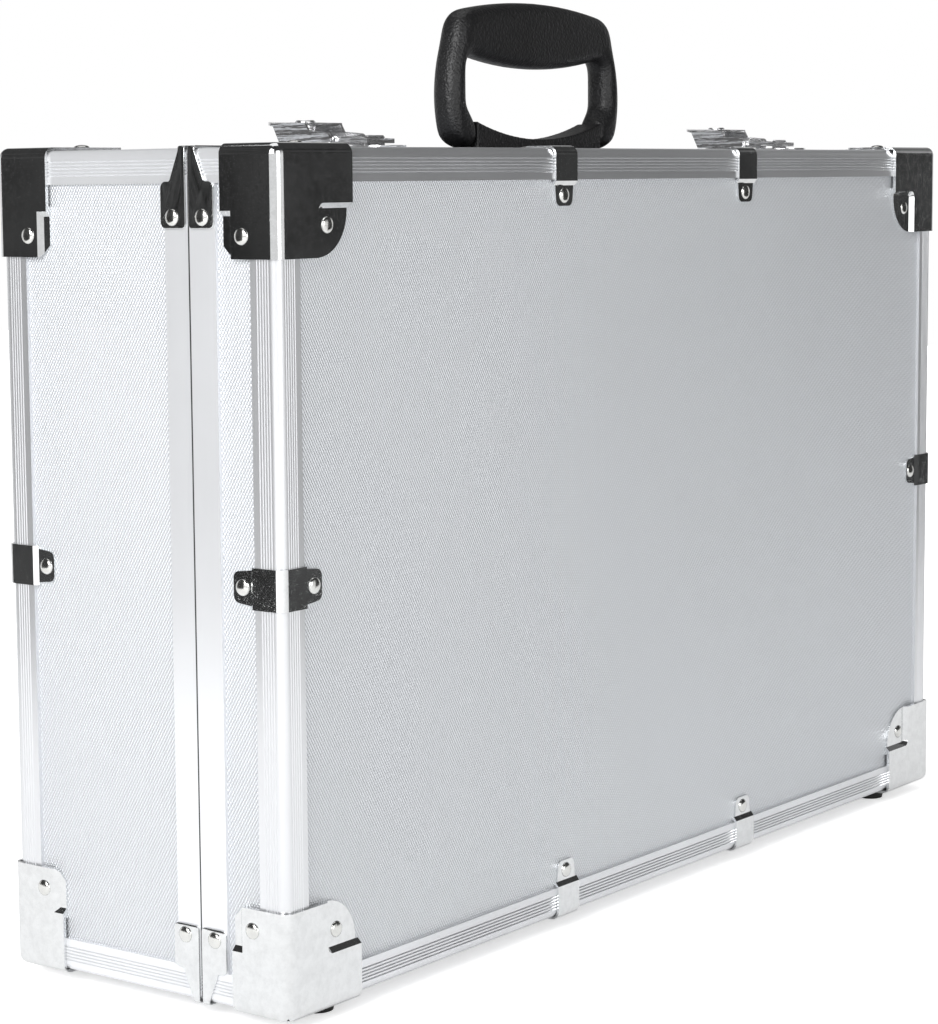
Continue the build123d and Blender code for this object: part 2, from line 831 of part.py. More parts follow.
def handle_body():
    """Moulded grip with two legs, bevelled all along, drilled for its pins."""
    shoulder = handle_shoulder_width / 2
    with BuildPart() as grip:
        with BuildSketch(Plane.XZ) as outline:
            with BuildLine():
                for end in (-1, 1):
                    handle_side(end)
                    handle_inside(end)
                ThreePointArc((-shoulder, shoulder_z), (0, grip_top), (shoulder, shoulder_z))
                ThreePointArc(
                    (opening_side, grip_bottom),
                    (0, grip_bottom - handle_grip_sag),
                    (-opening_side, grip_bottom),
                )
            make_face()
            outer = outline.vertices().filter_by(lambda v: abs(v.Y - shoulder_z) < 1)
            fillet(outer, radius=handle_outer_round)
            inner = outline.vertices().filter_by(lambda v: abs(v.Y - grip_bottom) < 1)
            fillet(inner, radius=handle_inner_round)
        extrude(amount=handle_thickness / 2, both=True)
        long_edges = grip.edges().filter_by(lambda e: abs(abs(e.center().Y) - handle_thickness / 2) < 0.1)
        upper = long_edges.filter_by(lambda e: e.center().Z > case_top + handle_taper_height)
        chamfer(upper, length=handle_edge_bevel)
        with BuildSketch(Plane.YZ):
            with Locations((0, handle_axis_z)):
                Circle(leg_radius)
                Polygon(
                    (-leg_radius, 0),
                    (leg_radius, 0),
                    (handle_thickness / 2, handle_taper_height),
                    (handle_thickness / 2, handle_width),
                    (-handle_thickness / 2, handle_width),
                    (-handle_thickness / 2, handle_taper_height),
                    align=None,
                )
        extrude(amount=everything, both=True, mode=Mode.INTERSECT)
        for end in (-1, 1):
            with BuildSketch(Plane.YZ.offset(end * (foot_inner - 1))):
                with Locations((0, handle_axis_z)):
                    Circle(handle_pin_radius + handle_pin_fit)
            extrude(amount=end * (handle_pin_depth + 1), mode=Mode.SUBTRACT)
    return grip.part.moved(Location((0, handle_y, 0)))


def handle_saddle():
    """Bracket between the legs, with a dished top and a thin flange under them."""
    end_x = foot_inner - handle_side_gap
    seat = case_top - edging_wall
    flange_top = case_top + handle_foot_clearance - bracket_clearance
    with BuildPart() as saddle:
        with BuildSketch(Plane.XZ):
            with BuildLine():
                ThreePointArc(
                    (-end_x, case_top + bracket_end_height),
                    (0, case_top + bracket_middle_height),
                    (end_x, case_top + bracket_end_height),
                )
                Polyline(
                    (end_x, case_top + bracket_end_height),
                    (end_x, seat),
                    (-end_x, seat),
                    (-end_x, case_top + bracket_end_height),
                )
            make_face()
        extrude(amount=bracket_depth / 2, both=True)
        with BuildSketch(Plane.XY.offset(seat)):
            RectangleRounded(bracket_flange_length, bracket_flange_depth, bracket_flange_depth / 3)
        extrude(amount=flange_top - seat)
        for end in (-1, 1):
            with BuildSketch(Plane.YZ.offset(end * end_x)):
                with Locations((0, handle_axis_z)):
                    Circle(handle_pin_radius)
            extrude(amount=-end * handle_pin_depth, mode=Mode.SUBTRACT)
    return saddle.part.moved(Location((0, handle_y, 0)))


def handle_pin():
    """Pin that joins the left leg to the bracket."""
    outer_end = foot_inner + handle_pin_depth - handle_side_gap
    inner_end = foot_inner - handle_side_gap - handle_pin_depth
    with BuildPart() as pin:
        with BuildSketch(Plane.YZ.offset(-outer_end)):
            with Locations((handle_y, handle_axis_z)):
                Circle(handle_pin_radius)
        extrude(amount=outer_end - inner_end)
    return pin.part


one_node("handle", handle_body())
one_node("handle_bracket", handle_saddle())
one_node("handle_pins", *both_ends(handle_pin()))

# Draw latches on the top, modelled about X = 0 and set out on both sides
lever_axis_z = case_top + lever_pin_height
bail_y = lever_pin_y + bail_pivot_run
bail_z = lever_axis_z + bail_pivot_rise
hook_y = catch_lip_y - bail_radius - bail_hook_gap
hook_z = case_top + bail_hook_height
ear_outer = lever_half_width - lever_wall - latch_ear_gap
ear_inner = ear_outer - latch_ear_wall
cover_front = bail_y + bail_radius + bail_clearance
latch_left = Location((-latch_spacing / 2, 0, 0))
latch_right = Location((latch_spacing / 2, 0, 0))


def latch_base():
    """Riveted plate with two upright ears that carry the lever's pins."""
    rim_back = split_y + base_rim_width
    with BuildPart() as base:
        with BuildSketch(Plane.YZ.offset(-ear_outer)):
            with BuildLine():
                Polyline(
                    (latch_plate_front, case_top + latch_plate),
                    (latch_rear, case_top + latch_plate),
                    (latch_rear, case_top - edging_wall),
                    (rim_back + panel_fit, case_top - edging_wall),
                    (rim_back + panel_fit, case_top),
                    (latch_plate_front, case_top),
                    close=True,
                )
            make_face()
        extrude(amount=2 * ear_outer)
        for end in (-1, 1):
            with BuildSketch(Plane.YZ.offset(end * ear_inner)):
                with Locations((lever_pin_y, lever_axis_z)):
                    Circle(lever_nose)
                    Rectangle(2 * lever_nose, lever_pin_height, align=(Align.CENTER, Align.MAX))
                    Circle(lever_pin_radius, mode=Mode.SUBTRACT)
            extrude(amount=end * latch_ear_wall)
    return base.part


def lever_pin():
    """Short pin through the left ear and the lever's left cheek."""
    with BuildPart() as pin:
        with BuildSketch(Plane.YZ.offset(-lever_half_width)):
            with Locations((lever_pin_y, lever_axis_z)):
                Circle(lever_pin_radius)
        extrude(amount=lever_half_width - ear_inner)
    return pin.part


def catch():
    """Keeper plate on the lid with a round front end and an upright lip for the bail."""
    rim_front = split_y - lid_rim_width
    back = split_y - 2 * rim_clip_gap
    with BuildPart() as keeper:
        with BuildSketch(Plane.XY.offset(case_top - edging_wall)):
            with Locations((0, catch_front + catch_width / 2)):
                Circle(catch_width / 2)
                Rectangle(catch_width, back - catch_front - catch_width / 2, align=(Align.CENTER, Align.MIN))
        extrude(amount=edging_wall + latch_plate)
        with BuildSketch(Plane.XY.offset(case_top - edging_wall)):
            with Locations((0, rim_front - panel_fit)):
                Rectangle(2 * catch_width, lid_rim_width + 2, align=(Align.CENTER, Align.MIN))
        extrude(amount=edging_wall, mode=Mode.SUBTRACT)
        with BuildSketch(Plane.XZ.offset(-catch_lip_y)):
            with Locations((0, case_top + latch_plate)):
                Rectangle(catch_lip_width, catch_lip_height, align=(Align.CENTER, Align.MIN))
        extrude(amount=-catch_lip_wall)
        fillet(keeper.edges().filter_by(Axis.Y).group_by(Axis.Z)[-1], radius=catch_lip_wall)
    return keeper.part


def lever():
    """Pressed lever: a cover with a raised finger lip, and two cheeks that reach to the pins."""
    cover_top = case_top + lever_top_height + lever_wall
    tail_z = case_top + latch_plate + bail_clearance
    with BuildPart() as body:
        with BuildSketch(Plane.YZ.offset(-lever_half_width)):
            with BuildLine():
                Polyline(
                    (cover_front, cover_top - lever_wall),
                    (cover_front, cover_top),
                    (latch_rear - lever_lip_length, cover_top),
                    (latch_rear, case_top + lever_lip_height),
                    (latch_rear, case_top + lever_lip_height - lever_wall),
                    (latch_rear - lever_lip_length, cover_top - lever_wall),
                    close=True,
                )
            make_face()
        extrude(amount=2 * lever_half_width)
        fillet(body.edges().filter_by(Axis.Z).group_by(Axis.Y)[-1], radius=lever_lip_length)
        for end in (-1, 1):
            with BuildSketch(Plane.YZ.offset(end * (lever_half_width - lever_wall))):
                with Locations((lever_pin_y, lever_axis_z), (bail_y, bail_z)):
                    Circle(lever_nose)
                make_hull()
                Polygon(
                    (bail_y, tail_z),
                    (bail_y, bail_z + lever_nose),
                    (cover_front, cover_top - lever_wall / 2),
                    (latch_rear - lever_lip_length, cover_top - lever_wall / 2),
                    (latch_rear - 2 * lever_lip_length, tail_z),
                    align=None,
                )
                with Locations((lever_pin_y, lever_axis_z)):
                    Circle(lever_pin_radius + lever_pin_fit, mode=Mode.SUBTRACT)
                with Locations((bail_y, bail_z)):
                    Circle(bail_radius + lever_pin_fit, mode=Mode.SUBTRACT)
            extrude(amount=end * lever_wall)
        with BuildSketch(Plane.XY.offset(case_top)):
            with Locations((0, lock_y)):
                Circle(lock_radius + lock_fit)
        extrude(amount=2 * lever_lip_height, mode=Mode.SUBTRACT)
    return body.part


def bail():
    """Stamped loop: two arms, a bar that hooks in front of the lip, and two pivot stubs in the cheeks."""
    arm_outer = bail_arm + bail_bar_width / 2
    hook_front = hook_y - bail_radius
    with BuildPart() as loop:
        with BuildSketch(Plane.XZ.offset(-hook_front)):
            with Locations((0, hook_z)):
                Rectangle(2 * arm_outer, bail_bar_height)
        extrude(amount=-2 * bail_radius)
        for end in (-1, 1):
            with BuildSketch(Plane.YZ.offset(end * (arm_outer - bail_bar_width))):
                Polygon(
                    (hook_front, hook_z - bail_bar_height / 2),
                    (hook_front, hook_z + bail_bar_height / 2),
                    (bail_y, bail_z + bail_radius),
                    (bail_y, bail_z - bail_radius),
                    align=None,
                )
                with Locations((bail_y, bail_z)):
                    Circle(bail_radius)
            extrude(amount=end * bail_bar_width)
            with BuildSketch(Plane.YZ.offset(end * (arm_outer - bail_bar_width / 2))):
                with Locations((bail_y, bail_z)):
                    Circle(bail_radius)
            extrude(amount=end * (lever_half_width - arm_outer + bail_bar_width / 2))
    return loop.part


def lock_cylinder():
    """Round lock plug in the lever, with a key slot."""
    top = case_top + lever_top_height + lever_wall + lock_top
    with BuildPart() as plug:
        with BuildSketch(Plane.XY.offset(top)):
            with Locations((0, lock_y)):
                Circle(lock_radius)
        extrude(amount=-lock_depth - lock_top)
        chamfer(plug.edges().group_by(Axis.Z)[-1], length=lock_top / 2)
        with BuildSketch(Plane.XY.offset(top)):
            with Locations((0, lock_y)):
                SlotOverall(lock_slot_length, lock_slot_width)
        extrude(amount=-lock_slot_depth, mode=Mode.SUBTRACT)
    return plug.part


one_node("latch_bases", latch_base().moved(latch_left), latch_base().moved(latch_right))
one_node("latch_catches", catch().moved(latch_left), catch().moved(latch_right))
both_pins = both_ends(lever_pin())
one_node("lever_pins", *[pin.moved(place) for place in (latch_left, latch_right) for pin in both_pins])
for side, place in (("left", latch_left), ("right", latch_right)):
    one_node(f"lever_{side}", lever().moved(place))
    one_node(f"bail_{side}", bail().moved(place))
    one_node(f"lock_{side}", lock_cylinder().moved(place))

# Charging tray in the base: back board, four sides, upright divider and shelves
tray_back = rear_y - panel_back
tray_bottom = case_bottom + tray_margin
tray_top = case_top - tray_margin
inner_left = tray_left + tray_wall
inner_right = tray_right - tray_wall
inner_bottom = tray_bottom + tray_wall
inner_top = tray_top - tray_wall
column_width = (inner_right - inner_left - (pocket_columns - 1) * divider_wall) / pocket_columns
row_height = (inner_top - inner_bottom - (pocket_rows - 1) * divider_wall) / pocket_rows
joint_left = inner_left + panel_fit
joint_right = inner_right - panel_fit
board_front = tray_back - tray_wall
joint_y = board_front - panel_fit
one_node(
    "tray_frame",
    panel((tray_left, board_front, tray_bottom), (tray_right, tray_back, tray_top)),
    panel((tray_left, tray_front, tray_bottom), (inner_left, joint_y, tray_top)),
    panel((inner_right, tray_front, tray_bottom), (tray_right, joint_y, tray_top)),
    panel((joint_left, tray_front, tray_bottom), (joint_right, joint_y, inner_bottom)),
    panel((joint_left, tray_front, inner_top), (joint_right, joint_y, tray_top)),
)
columns = [inner_left + column * (column_width + divider_wall) for column in range(pocket_columns)]
rows = [inner_bottom + row * (row_height + divider_wall) for row in range(pocket_rows)]
contact_front = board_front - contact_board_wall
uprights = [
    panel((x - divider_wall, tray_front, inner_bottom), (x, contact_front, inner_top)) for x in columns[1:]
]
shelves = [
    panel((x + panel_fit, tray_front, z - divider_wall), (x + column_width - panel_fit, contact_front, z))
    for x in columns
    for z in rows[1:]
]
one_node("tray_dividers", *uprights, *shelves)
one_node(
    "contact_board",
    panel((inner_left, contact_front, inner_bottom), (inner_right, board_front, inner_top)),
)


def contact_block(x, z):
    """Small block with the charging contacts at the back of one pocket."""
    left = x + (column_width - contact_block_length) / 2
    bottom = z + (row_height - contact_block_height) / 2
    with BuildPart() as block:
        with BuildSketch(Plane.XZ.offset(-contact_front)):
            with Locations((left, bottom)):
                Rectangle(contact_block_length, contact_block_height, align=(Align.MIN, Align.MIN))
        extrude(amount=contact_block_depth)
        chamfer(block.edges().filter_by(Axis.X).group_by(Axis.Y)[0], length=edging_wall)
    return block.part


one_node("contact_blocks", *[contact_block(x, z) for x in columns for z in rows])

# Power unit and its control panel beside the tray
bay_left = tray_right
bay_middle = (bay_left + power_right) / 2
panel_back_y = tray_front + control_panel_wall
inlet_centre = case_bottom + inlet_z
rocker_centre = case_bottom + rocker_z
lamp_centre = case_bottom + lamp_z
lamp_spots = GridLocations(lamp_pitch, lamp_pitch, lamp_columns, lamp_rows).local_locations


def power_unit():
    """Closed metal housing of the charger, fixed to the back panel."""
    with BuildPart() as unit:
        with BuildSketch(Plane.XZ.offset(-tray_back)):
            with Locations((bay_middle, case_bottom + power_bottom)):
                Rectangle(
                    power_right - bay_left - 2 * power_gap,
                    power_height,
                    align=(Align.CENTER, Align.MIN),
                )
        extrude(amount=power_depth)
        fillet(unit.edges().filter_by(Axis.Y), radius=power_gap / 2)
    return unit.part


def control_panel():
    """Front plate of the power bay with folded sides, cut for the inlet, the switch and the lamps."""
    with BuildPart() as plate:
        with BuildSketch(Plane.XZ.offset(-panel_back_y)):
            with Locations((bay_middle, case_middle)):
                Rectangle(power_right - bay_left, tray_top - tray_bottom)
            with Locations((bay_middle, inlet_centre)):
                Rectangle(inlet_width, inlet_height, mode=Mode.SUBTRACT)
            with Locations((bay_middle, rocker_centre)):
                Rectangle(rocker_width + 2 * rocker_fit, rocker_height + 2 * rocker_fit, mode=Mode.SUBTRACT)
            with Locations((bay_middle, lamp_centre)):
                with Locations(*lamp_spots):
                    Circle(lamp_radius + lamp_fit, mode=Mode.SUBTRACT)
        extrude(amount=control_panel_wall)
        with BuildSketch(Plane.XZ.offset(-tray_back)):
            with Locations((power_right, case_middle)):
                Rectangle(control_panel_wall, tray_top - tray_bottom, align=(Align.MAX, Align.CENTER))
        extrude(amount=tray_back - panel_back_y)
    return plate.part


def mains_inlet():
    """Recessed mains inlet with its flange on the control panel."""
    with BuildPart() as inlet:
        with BuildSketch(Plane.XZ.offset(-tray_front)):
            with Locations((bay_middle, inlet_centre)):
                Rectangle(inlet_width + 2 * inlet_flange, inlet_height + 2 * inlet_flange)
        extrude(amount=inlet_socket_wall)
        with BuildSketch(Plane.XZ.offset(-tray_front)):
            with Locations((bay_middle, inlet_centre)):
                Rectangle(inlet_width, inlet_height)
        extrude(amount=-inlet_depth)
        with BuildSketch(Plane.XZ.offset(-tray_front + inlet_socket_wall)):
            with Locations((bay_middle, inlet_centre)):
                Rectangle(inlet_width - 2 * inlet_socket_wall, inlet_height - 2 * inlet_socket_wall)
        extrude(amount=-inlet_socket_depth, mode=Mode.SUBTRACT)
    return inlet.part


def rocker():
    """Rocker switch cap with two sloping halves, tilted to off about its pivot in the control panel."""
    crest = inlet_socket_wall
    with BuildPart() as cap:
        with BuildSketch(Plane.YZ.offset(bay_middle - rocker_width / 2)):
            with Locations((panel_back_y, rocker_centre)):
                Polygon(
                    (0, -rocker_height / 2),
                    (-control_panel_wall - crest, -rocker_height / 2),
                    (-control_panel_wall - crest / 2, 0),
                    (-control_panel_wall - crest, rocker_height / 2),
                    (0, rocker_height / 2),
                    (rocker_depth, 0),
                    align=None,
                )
        extrude(amount=rocker_width)
    pivot = Axis((bay_middle, (tray_front + panel_back_y) / 2, rocker_centre), (1, 0, 0))
    return cap.part.rotate(pivot, -rocker_tilt)


def lamps():
    """Status lamps in the control panel, one per pocket."""
    with BuildPart() as group:
        with BuildSketch(Plane.XZ.offset(-tray_front + lamp_fit)):
            with Locations((bay_middle, lamp_centre)):
                with Locations(*lamp_spots):
                    Circle(lamp_radius)
        extrude(amount=-lamp_depth)
    return group.part


one_node("power_unit", power_unit())
one_node("control_panel", control_panel())
one_node("mains_inlet", mains_inlet())
one_node("power_rocker", rocker())
one_node("status_lamps", lamps())

# Soft padding in the lid
one_node(
    "lid_foam",
    panel(
        (-half_length + foam_margin, front_y + panel_back + foam_gap, case_bottom + foam_margin),
        (
            half_length - foam_margin,
            front_y + panel_back + foam_gap + foam_thickness,
            case_top - foam_margin,
        ),
    ),
)
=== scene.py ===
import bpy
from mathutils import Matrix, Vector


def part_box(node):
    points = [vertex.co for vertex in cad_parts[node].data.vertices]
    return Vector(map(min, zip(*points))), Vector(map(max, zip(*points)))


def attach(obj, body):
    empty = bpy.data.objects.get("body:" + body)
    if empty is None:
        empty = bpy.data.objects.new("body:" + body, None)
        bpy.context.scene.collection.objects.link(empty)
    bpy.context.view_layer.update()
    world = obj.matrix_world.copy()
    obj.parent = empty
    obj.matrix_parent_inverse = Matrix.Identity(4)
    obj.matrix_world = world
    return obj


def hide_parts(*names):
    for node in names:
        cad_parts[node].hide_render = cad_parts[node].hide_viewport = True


bl_info = {
    "name": "Charging case",
    "version": (1, 0, 0),
    "blender": (4, 5, 0),
    "location": "View3D > Sidebar > Charging case",
    "description": "Dresses an aluminium-edged charging case and sets its studio",
    "category": "Object",
}

import math

import bpy
from mathutils import Matrix, Vector

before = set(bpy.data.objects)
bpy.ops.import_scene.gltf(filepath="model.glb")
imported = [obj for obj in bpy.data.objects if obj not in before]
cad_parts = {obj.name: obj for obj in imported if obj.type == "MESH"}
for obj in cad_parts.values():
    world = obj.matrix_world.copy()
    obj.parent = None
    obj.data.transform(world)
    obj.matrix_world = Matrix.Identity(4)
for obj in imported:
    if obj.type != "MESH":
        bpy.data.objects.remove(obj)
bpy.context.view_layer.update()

# Studio camera, solved from the photograph, in the frame's own metres and degrees
CAMERA_PLACE = (-1.0973, -0.7630, 0.3413)
CAMERA_YAW = 51.887
CAMERA_PITCH = 6.621
CAMERA_ROLL = -0.634
CAMERA_LENS = 95.84
CAMERA_SENSOR = 36.0
CAMERA_SHIFT = (0.0945, -0.0110)

# Sizes of the modelled pieces, in metres
# Width of the painted shadow line along the seam between the halves
SEAM_SHADOW_WIDTH = 0.0005
RIVET_RADIUS = 0.00345
RIVET_HEIGHT = 0.0013
CLIP_BEND = 0.0013
CLIP_WALL = 0.001
CLIP_STRIP = 0.0036
LATCH_LIFT = 0.0022
ROLL_RADIUS = 0.0021
FOAM_WAVE = 0.018
FOAM_DEPTH = 0.0035

# Two heights closer than this are one level
SAME_LEVEL = 1e-5
# Flats that make up each modelled round
ROUND_STEPS = 4


class CaseFinish(bpy.types.PropertyGroup):
    """Colours and sizes of the finishes that a user would change."""

    aluminium: bpy.props.FloatVectorProperty(
        name="Edging", description="Colour of the extruded edging", subtype="COLOR",
        size=3, default=(0.78, 0.79, 0.81), min=0, max=1)
    laminate: bpy.props.FloatVectorProperty(
        name="Panels", description="Colour of the silver laminate", subtype="COLOR",
        size=3, default=(0.70, 0.72, 0.75), min=0, max=1)
    emboss_pitch: bpy.props.FloatProperty(
        name="Emboss pitch", description="Distance between the diamonds of the laminate",
        default=0.0015, min=0.0005, max=0.01, unit="LENGTH")
    emboss_height: bpy.props.FloatProperty(
        name="Emboss height", description="Height of the diamonds of the laminate",
        default=0.0003, min=0, max=0.002, unit="LENGTH")
    plating: bpy.props.FloatVectorProperty(
        name="Plating", description="Colour of the bright plated hardware", subtype="COLOR",
        size=3, default=(0.75, 0.76, 0.765), min=0, max=1)
    handle_black: bpy.props.FloatVectorProperty(
        name="Handle", description="Colour of the black handle", subtype="COLOR",
        size=3, default=(0.004, 0.004, 0.0045), min=0, max=1)
    grain_size: bpy.props.FloatProperty(
        name="Grain size", description="Size of the leather grain on the handle",
        default=0.0011, min=0.0003, max=0.01, unit="LENGTH")


class StudioSettings(bpy.types.PropertyGroup):
    """Light levels of the studio."""

    key_power: bpy.props.FloatProperty(
        name="Key", description="Power of the lamp that lights the end of the case",
        default=50.0, min=0, unit="POWER")
    fill_power: bpy.props.FloatProperty(
        name="Fill", description="Power of the lamp that lights the lid",
        default=13.0, min=0, unit="POWER")
    top_power: bpy.props.FloatProperty(
        name="Top", description="Power of the overhead lamp",
        default=12.0, min=0, unit="POWER")
    ambient: bpy.props.FloatProperty(
        name="Ambient", description="Level of the light from all round",
        default=0.5, min=0, max=2)
    mirror_level: bpy.props.FloatProperty(
        name="Mirror", description="Level of the surround in reflections",
        default=0.9, min=0, max=2)
    floor_mirror: bpy.props.FloatProperty(
        name="Floor mirror", description="Extra level of the floor in reflections",
        default=0.1, min=0, max=2)
    floor_glow: bpy.props.FloatProperty(
        name="Floor glow", description="Extra level of the floor to the camera beside the case",
        default=0.5, min=0, max=2)
    floor_size: bpy.props.FloatProperty(
        name="Floor", description="Width of the studio floor", default=8.0, min=1, unit="LENGTH")


def new_material(name):
    """New node material; returns the material, its node tree and its shader."""
    material = bpy.data.materials.new(name)
    material.use_nodes = True
    tree = material.node_tree
    return material, tree, tree.nodes["Principled BSDF"]


def math_node(tree, operation, first, second=None):
    """Math node whose inputs are sockets or numbers; returns its output socket."""
    made = tree.nodes.new("ShaderNodeMath")
    made.operation = operation
    for slot, value in enumerate((first, second)):
        if value is None:
            continue
        if isinstance(value, (int, float)):
            made.inputs[slot].default_value = value
        else:
            tree.links.new(value, made.inputs[slot])
    return made.outputs[0]


def object_place(tree):
    """Object coordinates; in a world tree, the direction of view."""
    return tree.nodes.new("ShaderNodeTexCoord").outputs["Object"]


def axes_of(tree, place):
    """The three separate axes of a coordinate."""
    split = tree.nodes.new("ShaderNodeSeparateXYZ")
    tree.links.new(place, split.inputs[0])
    return split.outputs


def noise(tree, place, scale, detail=2.0, roughness=0.5):
    """Noise texture on a coordinate; returns its grey output socket."""
    made = tree.nodes.new("ShaderNodeTexNoise")
    made.inputs["Scale"].default_value = scale
    made.inputs["Detail"].default_value = detail
    made.inputs["Roughness"].default_value = roughness
    tree.links.new(place, made.inputs["Vector"])
    return made.outputs[0]


def stretched(tree, place, scale):
    """Coordinate scaled apart along its axes."""
    made = tree.nodes.new("ShaderNodeMapping")
    made.inputs["Scale"].default_value = scale
    tree.links.new(place, made.inputs["Vector"])
    return made.outputs[0]


def ramp(tree, factor, low, high, start=0.0, stop=1.0):
    """Blend of two colours by a grey socket between two levels; returns the colour socket."""
    made = tree.nodes.new("ShaderNodeValToRGB")
    made.color_ramp.elements[0].position = start
    made.color_ramp.elements[1].position = stop
    made.color_ramp.elements[0].color = (*low, 1)
    made.color_ramp.elements[1].color = (*high, 1)
    tree.links.new(factor, made.inputs[0])
    return made.outputs[0]


def span(tree, factor, low, high, start=0.0, stop=1.0):
    """Grey socket mapped from start..stop to low..high."""
    made = tree.nodes.new("ShaderNodeMapRange")
    made.inputs["From Min"].default_value = start
    made.inputs["From Max"].default_value = stop
    made.inputs["To Min"].default_value = low
    made.inputs["To Max"].default_value = high
    tree.links.new(factor, made.inputs[0])
    return made.outputs[0]


def bump(tree, shader, height, distance, strength=1.0):
    """Drive the shader's normal from a height socket."""
    made = tree.nodes.new("ShaderNodeBump")
    made.inputs["Strength"].default_value = strength
    made.inputs["Distance"].default_value = distance
    tree.links.new(height, made.inputs["Height"])
    tree.links.new(made.outputs[0], shader.inputs["Normal"])


def shade(colour, factor):
    """A colour made darker or lighter by one factor."""
    return tuple(min(1.0, channel * factor) for channel in colour)


def aluminium_material(name, colour, along, metal):
    """Satin extrusion with drawing lines along one axis (0 = X, 1 = Y, 2 = Z), and a painted shadow line
    along the seam between the halves.
    """
    material, tree, shader = new_material(name)
    place = object_place(tree)
    scale = [1100.0] * 3
    scale[along] = 5.0
    lines = noise(tree, stretched(tree, place, scale), 1.0, 3.0)
    cloud = noise(tree, place, 9.0, 3.0)
    tone = ramp(tree, cloud, shade(colour, 0.93), shade(colour, 1.04), 0.3, 0.7)
    # Painted shadow line along the seam, on every edging
    tree.links.new(seam_shadowed(tree, axes_of(tree, place)[1], tone), shader.inputs["Base Color"])
    tree.links.new(span(tree, lines, 0.27, 0.40), shader.inputs["Roughness"])
    shader.inputs["Metallic"].default_value = metal
    shader.inputs["Anisotropic"].default_value = 0.6
    grain = tree.nodes.new("ShaderNodeTangent")
    grain.direction_type = "RADIAL"
    grain.axis = "XYZ"[along]
    tree.links.new(grain.outputs[0], shader.inputs["Tangent"])
    bump(tree, shader, lines, 0.00008, 0.5)
    return material


def seam_shadowed(tree, depth, tone):
    """A colour with a painted shadow line along the seam between the two halves; depth is the Y socket."""
    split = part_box("base_rim_long")[0].y
    away = math_node(tree, "ABSOLUTE", math_node(tree, "SUBTRACT", depth, split))
    clear = span(tree, away, 0.0, 1.0, SEAM_SHADOW_WIDTH / 2, SEAM_SHADOW_WIDTH)
    mix = tree.nodes.new("ShaderNodeMix")
    mix.data_type = "RGBA"
    # Colour of the painted seam shadow
    mix.inputs["A"].default_value = (0.03, 0.03, 0.03, 1)
    tree.links.new(clear, mix.inputs["Factor"])
    tree.links.new(tone, mix.inputs["B"])
    return mix.outputs["Result"]


def ridges(tree, distance, pitch):
    """Round ridges at one pitch along a distance socket."""
    turned = math_node(tree, "MULTIPLY", distance, math.pi / pitch)
    return math_node(tree, "ABSOLUTE", math_node(tree, "SINE", turned))


def mixed(tree, first, first_share, second, second_share):
    """Sum of two grey sockets, each times its share."""
    first_part = math_node(tree, "MULTIPLY", first, first_share)
    second_part = math_node(tree, "MULTIPLY", second, second_share)
    return math_node(tree, "ADD", first_part, second_part)


def laminate_material(name, colour, finish, across, up):
    """Silver laminate with a fine diamond emboss in the plane of two axes."""
    material, tree, shader = new_material(name)
    place = object_place(tree)
    axes = axes_of(tree, place)
    slope = 0.62
    rise = math_node(tree, "MULTIPLY", axes[up], slope)
    falling = ridges(tree, math_node(tree, "ADD", axes[across], rise), finish.emboss_pitch)
    rising = ridges(tree, math_node(tree, "SUBTRACT", axes[across], rise), finish.emboss_pitch)
    diamonds = math_node(tree, "MULTIPLY", falling, rising)
    emboss = math_node(tree, "ADD", diamonds, math_node(tree, "MULTIPLY", falling, 0.5))
    cloud = noise(tree, place, 5.0, 4.0)
    weave = mixed(tree, emboss, 0.5, cloud, 0.3)
    tone = ramp(tree, weave, shade(colour, 0.84), shade(colour, 1.07), 0.15, 0.75)
    tree.links.new(tone, shader.inputs["Base Color"])
    grain = noise(tree, place, 700.0, 2.0)
    tree.links.new(span(tree, grain, 0.36, 0.52), shader.inputs["Roughness"])
    shader.inputs["Metallic"].default_value = 0.55
    bump(tree, shader, emboss, finish.emboss_height, 0.8)
    return material


def plated_material(name, colour, rough=0.05):
    """Bright plating over pressed steel, slightly wavy, with faint handling marks."""
    material, tree, shader = new_material(name)
    place = object_place(tree)
    waves = noise(tree, place, 26.0, 2.0)
    marks = noise(tree, place, 240.0, 6.0, 0.7)
    pits = noise(tree, place, 900.0, 2.0, 0.6)
    tree.links.new(ramp(tree, marks, shade(colour, 0.9), colour, 0.35, 0.6), shader.inputs["Base Color"])
    tree.links.new(span(tree, marks, rough, rough + 0.09), shader.inputs["Roughness"])
    shader.inputs["Metallic"].default_value = 1.0
    worn = math_node(tree, "MULTIPLY", pits, math_node(tree, "ADD", marks, 0.55))
    specks = span(tree, worn, 0.0, 1.0, 0.6, 0.76)
    height = mixed(tree, waves, 0.55, specks, -0.045)
    bump(tree, shader, height, 0.0006, 0.4)
    return material


def chrome_material(name, colour):
    """Bright chrome over stampings, with drawn streaks along the piece that break up its reflections."""
    material, tree, shader = new_material(name)
    place = object_place(tree)
    streaks = noise(tree, stretched(tree, place, (26.0, 26.0, 360.0)), 1.0, 3.0)
    marks = noise(tree, place, 420.0, 5.0, 0.7)
    tree.links.new(ramp(tree, marks, shade(colour, 0.82), colour, 0.35, 0.6), shader.inputs["Base Color"])
    tree.links.new(span(tree, marks, 0.05, 0.15), shader.inputs["Roughness"])
    shader.inputs["Metallic"].default_value = 0.93
    height = math_node(tree, "ADD", streaks, math_node(tree, "MULTIPLY", marks, 0.06))
    bump(tree, shader, height, 0.003, 0.8)
    return material


